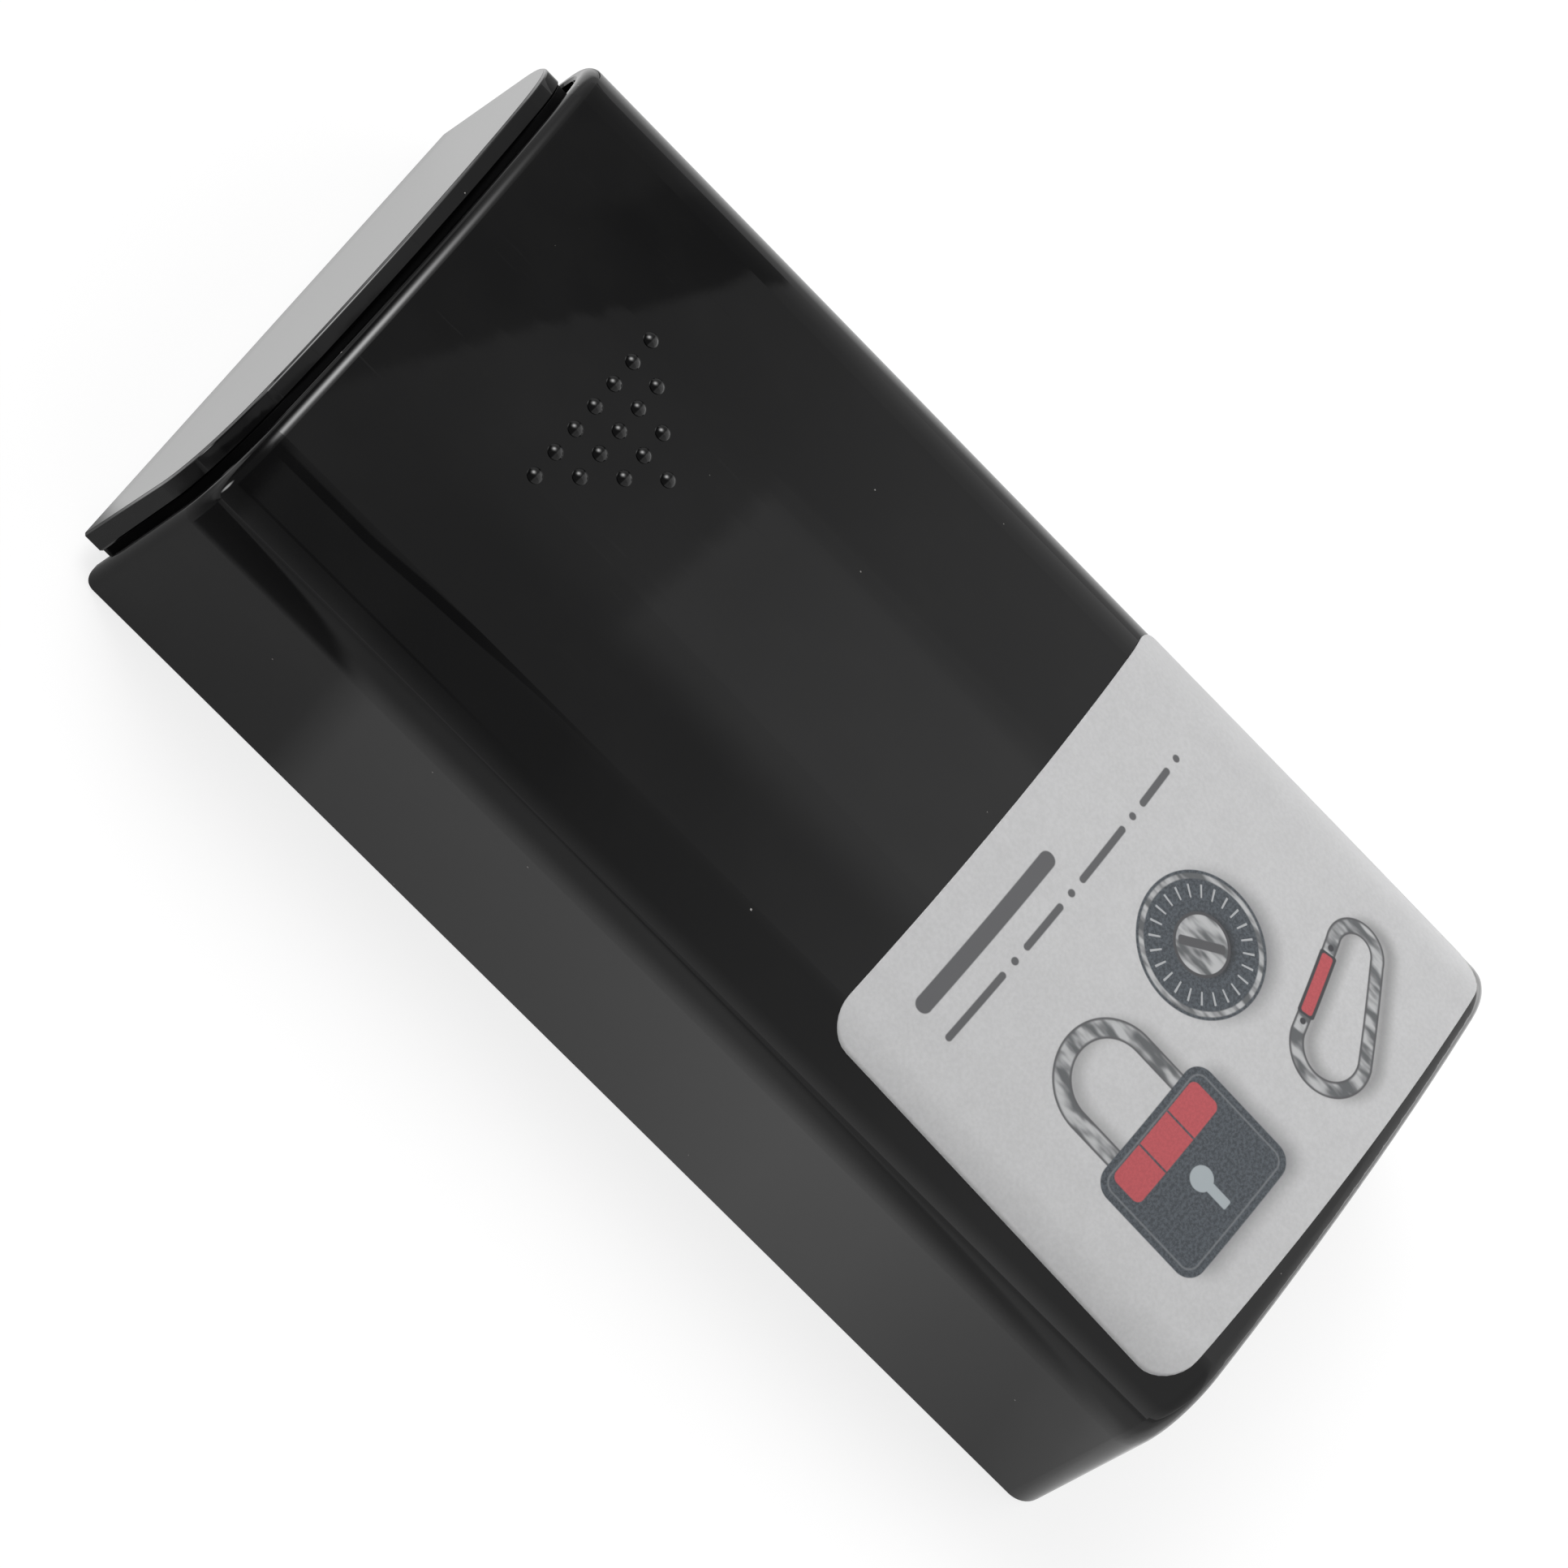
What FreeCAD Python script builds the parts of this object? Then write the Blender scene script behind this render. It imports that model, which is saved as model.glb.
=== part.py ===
import FreeCAD, Part
import math
import os
from FreeCAD import Vector

# Magnetic key box in two mouldings: a hood-shaped lid that slides off a tray, and the
# tray with its end plate, which carries two ferrite magnets in wells on its underside.
# Millimetres. +X runs from the end plate to the lid's closed end, +Z is up, and z = 0 is
# the steel surface that the magnets hold to. The origin is midway along the closed box.

# ---- Lid, outside
lid_length = 120.2  # open rim to closed end, along the bottom edge
lid_width = 60.0
lid_height = 32.0  # bottom edge to the crest of the crowned top
crown_fall = 3.7  # drop of the crown from its crest to the line of a side wall
long_edge_radius = 9.0
closed_end_lean = 5.7  # degrees that the closed end leans in as it rises
end_corner_radius = 2.8  # upright corners of the closed end
end_top_radius = 1.8  # top edge of the closed end
rim_radius = 1.3  # outer edge of the open rim
skirt_corner_radius = 0.6  # lower corner of each side wall beside the rim
lid_lift = 0.4  # bottom edge of the lid above the steel surface

# ---- Lid, inside
lid_wall = 2.0
inner_end_chamfer = 0.8  # inside edges of the closed end
inner_rim_chamfer = 0.25
tongue_reach = 2.6  # how far each guide tongue stands in from the side wall
tongue_thickness = 1.6
tongue_lead = 2.0  # tapered lead-in at the front of each tongue

# ---- Thumb grip: raised dots in an arrow that points where the lid is pushed
dot_diameter = 1.5
dot_height = 0.45
dot_land = 0.08  # upright foot of a dot, below its dome
dot_root = 0.6  # depth to which a dot runs into the wall
dot_pitch = 3.0
dot_rows = 4
dots_from_rim = 19.3  # rim to the arrow's longest row

# ---- Label, a sheet laid over the crown and part of the way down the long edges
label_length = 44.9
label_width = 54.6
label_thickness = 0.15
label_corner_radius = 3.4
label_from_end = 5.05  # middle of the label's outer edge to the foot of the closed end
label_side_shift = 0.9
label_turn = -1.6  # degrees that the sheet was laid out of square

# ---- End plate of the tray
plate_thickness = 2.2  # at its foot
plate_lean = 0.86  # degrees that its face leans in as it rises
plate_side_inset = 2.15  # plate inside the lid's outline at the sides
plate_top_inset = 1.6
plate_foot_inset = 1.8
plate_crown_fall = 4.45
plate_corner_radius = 10.4
plate_foot_radius = 0.4
plate_edge_chamfer = 0.2
rim_gap = 0.6  # plate to rim with the box shut

# ---- Neck behind the plate, which the lid's mouth slides over
neck_length = 7.5
neck_step = 0.45  # neck inside the plate's outline at the sides
neck_corner_radius = 9.6
mouth_clearance = 0.4  # neck to the crown inside the lid
snug_rib_radius = 0.8
snug_rib_height = 0.25
snug_rib_spacing = 24.0
snug_rib_start = 1.0  # inside the rim

# ---- Tray
floor_thickness = 2.0
tray_wall = 1.6
tray_wall_height = 9.0  # above the floor
tray_end_radius = 3.0
tray_lip_chamfer = 0.4
flange_thickness = 1.4
slide_clearance = 0.35  # tongue to groove, all round
stop_clearance = 0.3  # far wall of the tray to the lid's closed end

# ---- Magnets and the wells that hold them
magnet_length = 20.0  # along the box
magnet_width = 40.0
magnet_thickness = 5.0
magnet_edge_radius = 0.6
magnet_from_end = 21.5  # end of the closed box to the magnet
pad_thickness = 0.4
pad_inset = 1.0
well_clearance = 0.25
well_wall = 1.6
well_foot_lift = 0.6  # collar of a well above the steel surface
crush_rib_radius = 0.6
crush_rib_height = 0.2

# ---- Places that follow from the sizes above
closed_length = plate_thickness + rim_gap + lid_length
plate_face_x = -closed_length / 2
plate_back_x = plate_face_x + plate_thickness
rim_x = plate_back_x + rim_gap
lid_end_x = rim_x + lid_length
lid_foot_z = lid_lift
lid_top_z = lid_foot_z + lid_height
lid_half = lid_width / 2
lid_inner_half = lid_half - lid_wall
lid_crown_radius = (lid_half**2 + crown_fall**2) / (2 * crown_fall)

plate_half = lid_half - plate_side_inset
plate_foot_z = lid_foot_z + plate_foot_inset
plate_top_z = lid_top_z - plate_top_inset
plate_crown_radius = (plate_half**2 + plate_crown_fall**2) / (2 * plate_crown_fall)

base_half = plate_half - neck_step
neck_end_x = plate_back_x + neck_length
neck_top_z = lid_top_z - lid_wall - mouth_clearance
neck_crown_radius = lid_crown_radius - lid_wall - mouth_clearance
floor_top_z = plate_foot_z + floor_thickness
tray_top_z = floor_top_z + tray_wall_height
tongue_tip_y = lid_inner_half - tongue_reach
tongue_foot_z = floor_top_z + slide_clearance
flange_foot_z = tongue_foot_z + tongue_thickness + slide_clearance
tray_half = tongue_tip_y - slide_clearance
neck_wall = base_half - tray_half

magnet_top_z = magnet_thickness
well_roof_z = magnet_top_z + pad_thickness

OVER = 1.0  # how far a cutting tool runs past the face it cuts


def end_x(z, inset=0.0):
    """X of the closed end at height z, or of a face that lies inset behind it."""
    lean = math.radians(closed_end_lean)
    return lid_end_x - (z - lid_foot_z) * math.tan(lean) - inset / math.cos(lean)


def line(a, b):
    return Part.LineSegment(a, b).toShape()


def arc(a, through, b):
    return Part.Arc(a, through, b).toShape()


def hood_outline(x, half, foot_z, top_z, crown_radius, corner_radius, foot_radius=0.0):
    """Outline across the box at x: flat foot, upright sides, rounded long edges, crown."""
    crown_z = top_z - crown_radius
    corner_y = half - corner_radius
    reach = crown_radius - corner_radius
    corner_z = crown_z + math.sqrt(reach**2 - corner_y**2)
    meet = math.asin(corner_y / reach)
    upright = math.pi / 2

    def on_corner(side, angle):
        y = corner_y + corner_radius * math.sin(angle)
        return Vector(x, side * y, corner_z + corner_radius * math.cos(angle))

    def on_foot(side, angle):
        y = half - foot_radius + foot_radius * math.cos(angle)
        return Vector(x, side * y, foot_z + foot_radius - foot_radius * math.sin(angle))

    middle = (meet + upright) / 2
    edges = [
        line(on_foot(-1, upright), on_foot(1, upright)),
        line(on_foot(1, 0), on_corner(1, upright)),
        arc(on_corner(1, upright), on_corner(1, middle), on_corner(1, meet)),
        arc(on_corner(1, meet), Vector(x, 0, top_z), on_corner(-1, meet)),
        arc(on_corner(-1, meet), on_corner(-1, middle), on_corner(-1, upright)),
        line(on_corner(-1, upright), on_foot(-1, 0)),
    ]
    if foot_radius > 0:
        for side in (-1, 1):
            ends = on_foot(side, upright), on_foot(side, upright / 2), on_foot(side, 0)
            edges.append(arc(*ends))
    return Part.Wire(Part.__sortEdges__(edges))


def box(x0, x1, y0, y1, z0, z1):
    return Part.makeBox(x1 - x0, y1 - y0, z1 - z0, Vector(x0, y0, z0))


def upright_edges(shape):
    return [e for e in shape.Edges if e.tangentAt(e.FirstParameter).cross(Vector(0, 0, 1)).Length < 1e-6]


def slab(x0, x1, half, z0, z1, end_radius):
    """Flat piece across the box, square at its start and rounded in plan at its far end."""
    piece = box(x0, x1, -half, half, z0, z1)
    return piece.makeFillet(end_radius, [e for e in upright_edges(piece) if e.CenterOfMass.x > x0])


def block(middle_x, middle_y, length, width, z0, z1, radius):
    """Upright block with rounded upright edges."""
    x0 = middle_x - length / 2
    y0 = middle_y - width / 2
    piece = box(x0, x0 + length, y0, y0 + width, z0, z1)
    return piece.makeFillet(radius, upright_edges(piece))


# ---------------------------------------------------------------- lid


def hood(inset, start_x, foot_z):
    """Solid hood under the lid's outer surface, or inset within it, with its leaning end."""
    outline = hood_outline(
        start_x,
        lid_half - inset,
        foot_z,
        lid_top_z - inset,
        lid_crown_radius - inset,
        long_edge_radius - inset,
    )
    prism = Part.Face(outline).extrude(Vector(lid_end_x + OVER - start_x, 0, 0))
    low = foot_z - OVER
    high = lid_top_z - inset + OVER
    side = [
        Vector(start_x - OVER, -lid_half - OVER, low),
        Vector(end_x(low, inset), -lid_half - OVER, low),
        Vector(end_x(high, inset), -lid_half - OVER, high),
        Vector(start_x - OVER, -lid_half - OVER, high),
    ]
    profile = Part.Face(Part.makePolygon(side + side[:1]))
    return prism.common(profile.extrude(Vector(0, lid_width + 2 * OVER, 0)))


def closed_end_edges(solid):
    """Edges around the closed end of a hood, apart from the one along its foot."""
    end_face = max(solid.Faces, key=lambda f: f.CenterOfMass.x)
    foot_z = solid.BoundBox.ZMin
    return [e for e in end_face.Edges if e.BoundBox.ZMax > foot_z + 1e-3]


def round_closed_end(solid, upright_radius, top_radius):
    """Round the closed end: one radius up its corners, easing to another along its top."""
    document = FreeCAD.newDocument("rounding")
    source = document.addObject("Part::Feature", "source")
    source.Shape = solid
    fillet = document.addObject("Part::Fillet", "fillet")
    fillet.Base = source
    chosen = []
    for wanted in closed_end_edges(solid):
        number = next(i for i, e in enumerate(solid.Edges, 1) if e.isSame(wanted))
        start = wanted.valueAt(wanted.FirstParameter)
        finish = wanted.valueAt(wanted.LastParameter)
        if is_crown(wanted):
            radii = top_radius, top_radius
        elif wanted.BoundBox.YLength < 1e-3:
            radii = upright_radius, upright_radius
        elif start.z < finish.z:
            radii = upright_radius, top_radius
        else:
            radii = top_radius, upright_radius
        chosen.append((number, radii[0], radii[1]))
    fillet.Edges = chosen
    document.recompute()
    rounded = fillet.Shape.copy()
    FreeCAD.closeDocument(document.Name)
    return rounded


def is_crown(edge):
    return abs(edge.CenterOfMass.y) < 1e-3


def grip_dot(x, y):
    """Dome on a short upright foot, square to the crown at distance y from its middle."""
    radius = dot_diameter / 2
    rise = dot_height - dot_land
    ball_radius = (radius**2 + rise**2) / (2 * rise)
    ball = Part.makeSphere(ball_radius, Vector(0, 0, dot_height - ball_radius), Vector(-1, 0, 0))
    dot = ball.common(Part.makeCylinder(radius, dot_root + dot_height, Vector(0, 0, -dot_root)))
    angle = math.asin(y / lid_crown_radius)
    dot.rotate(Vector(0, 0, 0), Vector(1, 0, 0), -math.degrees(angle))
    crown_z = lid_top_z - lid_crown_radius
    dot.translate(Vector(x, y, crown_z + lid_crown_radius * math.cos(angle)))
    return dot


def grip_dots():
    """Dots in rows of falling length, which make an arrow towards the closed end."""
    dots = []
    for row in range(dot_rows):
        count = 2 * (dot_rows - row) - 1
        x = rim_x + dots_from_rim + row * dot_pitch
        for place in range(count):
            dots.append(grip_dot(x, (place - (count - 1) / 2) * dot_pitch))
    return dots


def guide_tongue(side):
    """Tongue along the inside of one side wall, tapered where it enters the tray's groove."""
    start_x = neck_end_x + stop_clearance
    wall_y = lid_inner_half + lid_wall / 2
    end = end_x(tongue_foot_z + tongue_thickness, lid_wall / 2)
    plan = [
        Vector(start_x, side * wall_y, tongue_foot_z),
        Vector(start_x, side * lid_inner_half, tongue_foot_z),
        Vector(start_x + tongue_lead, side * tongue_tip_y, tongue_foot_z),
        Vector(end, side * tongue_tip_y, tongue_foot_z),
        Vector(end, side * wall_y, tongue_foot_z),
    ]
    face = Part.Face(Part.makePolygon(plan + plan[:1]))
    return face.extrude(Vector(0, 0, tongue_thickness))


def skirt_corner():
    """What is cut away to round the side walls' lower corners beside the rim."""
    x = rim_x + skirt_corner_radius
    z = lid_foot_z + skirt_corner_radius
    corner = box(rim_x - OVER, x, -lid_half - OVER, lid_half + OVER, lid_foot_z - OVER, z)
    start = Vector(x, -lid_half - 2 * OVER, z)
    return corner.cut(Part.makeCylinder(skirt_corner_radius, lid_width + 4 * OVER, start, Vector(0, 1, 0)))


def rim_edges(solid, inset):
    """Edges around the open rim, apart from any along the foot, of what lies inset in the lid."""
    edges = [e for e in solid.Edges if e.BoundBox.XMax < rim_x + 1e-3]
    edges = [e for e in edges if e.BoundBox.ZMax > lid_foot_z + 1e-3]
    return [e for e in edges if abs(e.BoundBox.YMin) < lid_half - inset + 1e-3]


def lid_shell():
    outer = round_closed_end(hood(0.0, rim_x, lid_foot_z), end_corner_radius, end_top_radius)
    outer = outer.makeFillet(rim_radius, rim_edges(outer, 0.0))
    cavity = hood(lid_wall, rim_x - OVER, lid_foot_z - OVER)
    cavity = cavity.makeChamfer(inner_end_chamfer, closed_end_edges(cavity))
    shell = outer.cut(cavity)
    inner_rim = [e for e in rim_edges(shell, lid_wall) if e.BoundBox.ZMin > lid_foot_z - 1e-3]
    shell = shell.makeChamfer(inner_rim_chamfer, inner_rim)
    shell = shell.fuse([guide_tongue(-1), guide_tongue(1)] + grip_dots())
    return shell.cut(skirt_corner()).removeSplitter()


def cover_label():
    """Thin sheet on the lid: the layer over its surface, within a turned rounded rectangle."""
    skin = hood(-label_thickness, rim_x, lid_foot_z).cut(hood(0.0, rim_x - OVER, lid_foot_z - OVER))
    middle_x = lid_end_x - label_from_end - label_length / 2
    low = (lid_foot_z + lid_top_z) / 2
    high = lid_top_z + OVER
    sheet = block(middle_x, label_side_shift, label_length, label_width, low, high, label_corner_radius)
    sheet.rotate(Vector(middle_x, label_side_shift, 0), Vector(0, 0, 1), label_turn)
    return skin.common(sheet)


# ---------------------------------------------------------------- base


def end_plate():
    outline = hood_outline(
        plate_face_x,
        plate_half,
        plate_foot_z,
        plate_top_z,
        plate_crown_radius,
        plate_corner_radius,
        plate_foot_radius,
    )
    plate = Part.Face(outline).extrude(Vector(plate_thickness, 0, 0))
    high = plate_top_z + OVER
    lean = math.tan(math.radians(plate_lean)) * (high - plate_foot_z)
    sliver = [
        Vector(plate_face_x, -lid_half, plate_foot_z),
        Vector(plate_face_x + lean, -lid_half, high),
        Vector(plate_face_x, -lid_half, high),
    ]
    plate = plate.cut(Part.Face(Part.makePolygon(sliver + sliver[:1])).extrude(Vector(0, lid_width, 0)))
    face = min(plate.Faces, key=lambda f: f.CenterOfMass.x)
    back = max(plate.Faces, key=lambda f: f.CenterOfMass.x)
    return plate.makeChamfer(plate_edge_chamfer, face.Edges + back.Edges)


def neck_outline(inset, foot_z):
    return hood_outline(
        plate_back_x,
        base_half - inset,
        foot_z,
        neck_top_z - inset,
        neck_crown_radius - inset,
        neck_corner_radius - inset,
    )


def neck():
    """Short sleeve behind the plate, with two fine ribs on top that take up the slack."""
    outer = Part.Face(neck_outline(0.0, plate_foot_z)).extrude(Vector(neck_length, 0, 0))
    bore = Part.Face(neck_outline(neck_wall, floor_top_z)).extrude(Vector(neck_length, 0, 0))
    ribs = []
    for side in (-1, 1):
        y = side * snug_rib_spacing / 2
        crown_z = neck_top_z - neck_crown_radius + math.sqrt(neck_crown_radius**2 - y**2)
        start = Vector(rim_x + snug_rib_start, y, crown_z + snug_rib_height - snug_rib_radius)
        length = neck_end_x - start.x
        ribs.append(Part.makeCylinder(snug_rib_radius, length, start, Vector(1, 0, 0)))
    return outer.cut(bore).fuse(ribs)


def tray():
    """Floor, key walls and the flanges that close the grooves for the lid's tongues."""
    tray_end = end_x(tray_top_z, lid_wall) - stop_clearance
    floor = slab(plate_back_x, tray_end, base_half, plate_foot_z, floor_top_z, tray_end_radius)
    walls = slab(plate_back_x, tray_end, tray_half, plate_foot_z, tray_top_z, tray_end_radius)
    inside = slab(
        plate_back_x - OVER,
        tray_end - tray_wall,
        tray_half - tray_wall,
        floor_top_z,
        tray_top_z + OVER,
        tray_end_radius - tray_wall,
    )
    walls = walls.cut(inside)
    lip = [e for e in walls.Edges if e.BoundBox.ZMin > tray_top_z - 1e-3]
    lip = [e for e in lip if e.BoundBox.XMax > plate_back_x + 1e-3]
    walls = walls.makeChamfer(tray_lip_chamfer, lip)
    flange_top_z = flange_foot_z + flange_thickness
    flange = slab(plate_back_x, tray_end, base_half, flange_foot_z, flange_top_z, tray_end_radius)
    opening = box(plate_back_x, tray_end, -tray_half, tray_half, flange_foot_z, flange_top_z)
    return [floor, walls, flange.cut(opening)]


def magnet_centres():
    reach = closed_length / 2 - magnet_from_end - magnet_length / 2
    return [-reach, reach]


def magnet_well(centre_x):
    """Walls and roof around one magnet, open below."""
    margin = 2 * (well_clearance + well_wall)
    length = magnet_length + margin
    width = magnet_width + margin
    roof_top_z = well_roof_z + well_wall
    return block(centre_x, 0, length, width, well_foot_lift, roof_top_z, magnet_edge_radius + well_wall)


def magnet_pocket(centre_x):
    """Room for one magnet and its pad, with upright crush ribs standing into it."""
    length = magnet_length + 2 * well_clearance
    width = magnet_width + 2 * well_clearance
    pocket = block(centre_x, 0, length, width, -OVER, well_roof_z, magnet_edge_radius)
    height = magnet_top_z - well_foot_lift
    sunk = crush_rib_radius - crush_rib_height
    places = [(sx * (length / 2 + sunk), sy * width / 4) for sx in (-1, 1) for sy in (-1, 1)]
    places += [(sx * length / 4, sy * (width / 2 + sunk)) for sx in (-1, 1) for sy in (-1, 1)]
    ribs = [
        Part.makeCylinder(crush_rib_radius, height, Vector(centre_x + x, y, well_foot_lift))
        for x, y in places
    ]
    return pocket.cut(ribs[0].fuse(ribs[1:]))


def base_tray():
    pieces = [neck()] + tray() + [magnet_well(x) for x in magnet_centres()]
    base = end_plate().fuse(pieces)
    for x in magnet_centres():
        base = base.cut(magnet_pocket(x))
    return base.removeSplitter()


def magnet(centre_x):
    return block(centre_x, 0, magnet_length, magnet_width, 0, magnet_top_z, magnet_edge_radius)


def magnet_pad(centre_x):
    length = magnet_length - 2 * pad_inset
    width = magnet_width - 2 * pad_inset
    return block(centre_x, 0, length, width, magnet_top_z, well_roof_z, magnet_edge_radius)


# ---------------------------------------------------------------- output

os.makedirs("parts", exist_ok=True)
lid_shell().exportStep("parts/lid_shell.step")
cover_label().exportStep("parts/cover_label.step")
base_tray().exportStep("parts/base_tray.step")
for number, centre in enumerate(magnet_centres(), 1):
    magnet(centre).exportStep(f"parts/magnet_{number}.step")
    magnet_pad(centre).exportStep(f"parts/magnet_pad_{number}.step")
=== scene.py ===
"""Magnetic key box: finishes, printed label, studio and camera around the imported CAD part."""

import math

import bpy
import numpy as np
from bpy.props import FloatProperty, FloatVectorProperty, PointerProperty
from bpy.types import Operator, Panel, PropertyGroup
from mathutils import Matrix, Vector


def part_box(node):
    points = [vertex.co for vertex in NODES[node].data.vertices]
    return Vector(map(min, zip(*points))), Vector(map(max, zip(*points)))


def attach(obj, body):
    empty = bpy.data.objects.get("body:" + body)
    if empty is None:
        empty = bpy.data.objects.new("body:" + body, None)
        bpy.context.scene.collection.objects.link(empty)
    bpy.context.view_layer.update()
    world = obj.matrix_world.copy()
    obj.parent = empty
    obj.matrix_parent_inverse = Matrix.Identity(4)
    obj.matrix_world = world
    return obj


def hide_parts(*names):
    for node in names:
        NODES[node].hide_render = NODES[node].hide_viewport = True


bl_info = {
    "name": "Magnetic key box",
    "version": (1, 0, 0),
    "blender": (4, 5, 0),
    "location": "View3D > Sidebar > Key Box",
    "description": "Dresses the key box's frame with its finishes, label and studio",
    "category": "Object",
}

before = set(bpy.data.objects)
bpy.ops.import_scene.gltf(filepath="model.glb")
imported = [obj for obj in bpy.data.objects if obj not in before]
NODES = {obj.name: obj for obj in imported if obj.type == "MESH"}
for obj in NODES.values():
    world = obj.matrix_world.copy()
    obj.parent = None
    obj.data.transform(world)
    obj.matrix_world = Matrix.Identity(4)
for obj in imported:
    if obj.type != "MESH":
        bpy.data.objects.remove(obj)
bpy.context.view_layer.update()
MM = 0.001
PI = math.pi


# ---------------------------------------------------------------- properties


class LidSettings(PropertyGroup):
    """Lid and its finish, shared by the tray."""

    plastic: FloatVectorProperty(
        name="Plastic", description="Colour of the moulded plastic", subtype="COLOR",
        size=3, min=0, max=1, default=(0.0018, 0.0018, 0.0020),
    )
    dust: FloatVectorProperty(
        name="Dust", description="Colour of the specks of dust", subtype="COLOR",
        size=3, min=0, max=1, default=(0.30, 0.29, 0.28),
    )
    gloss: FloatProperty(
        name="Roughness", description="Roughness of the clean plastic", subtype="FACTOR",
        min=0, max=1, default=0.018,
    )
    waviness: FloatProperty(
        name="Waviness", description="Height of the slow unevenness left by the mould",
        subtype="DISTANCE", unit="LENGTH", min=0, max=0.001, default=0.0001,
    )


class LabelSettings(PropertyGroup):
    """Label sheet and its print."""

    length: FloatProperty(
        name="Length", description="Size along the box", subtype="DISTANCE", unit="LENGTH",
        default=0.0449, min=0.01, max=0.1,
    )
    width: FloatProperty(
        name="Width", description="Size across the box", subtype="DISTANCE", unit="LENGTH",
        default=0.0546, min=0.01, max=0.1,
    )
    corner: FloatProperty(
        name="Corner radius", description="Radius of the sheet's corners", subtype="DISTANCE",
        unit="LENGTH", default=0.0034, min=0, max=0.01,
    )
    thickness: FloatProperty(
        name="Thickness", description="Thickness of the sheet", subtype="DISTANCE",
        unit="LENGTH", default=0.00014, min=0, max=0.001,
    )
    turn: FloatProperty(
        name="Turn", description="How far out of square the sheet was laid", subtype="ANGLE",
        unit="ROTATION", default=math.radians(-1.6),
    )
    sheet: FloatVectorProperty(
        name="Sheet", description="Colour of the satin sheet", subtype="COLOR", size=3,
        min=0, max=1, default=(0.53, 0.53, 0.535),
    )
    ink: FloatVectorProperty(
        name="Ink", description="Colour of the dark print", subtype="COLOR", size=3,
        min=0, max=1, default=(0.045, 0.052, 0.060),
    )
    accent: FloatVectorProperty(
        name="Accent", description="Colour of the band on the padlock", subtype="COLOR", size=3,
        min=0, max=1, default=(0.42, 0.075, 0.085),
    )


class StudioSettings(PropertyGroup):
    """Lights, floor and camera."""

    floor: FloatVectorProperty(
        name="Floor", description="Colour of the floor", subtype="COLOR", size=3,
        min=0, max=1, default=(0.84, 0.84, 0.84),
    )
    key_strength: FloatProperty(
        name="Key", description="Brightness of the key light at its middle", min=0, max=50,
        default=10.0,
    )
    key_azimuth: FloatProperty(
        name="Key azimuth", description="Direction of the key light in plan", subtype="ANGLE",
        unit="ROTATION", default=math.radians(148),
    )
    key_tilt: FloatProperty(
        name="Key tilt", description="Angle of the key light from straight above",
        subtype="ANGLE", unit="ROTATION", default=math.radians(37),
    )
    focal_length: FloatProperty(
        name="Focal length", description="Lens, for a 36 mm sensor", unit="CAMERA",
        min=10, max=500, default=160.63,
    )


# ---------------------------------------------------------------- node graphs


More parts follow.
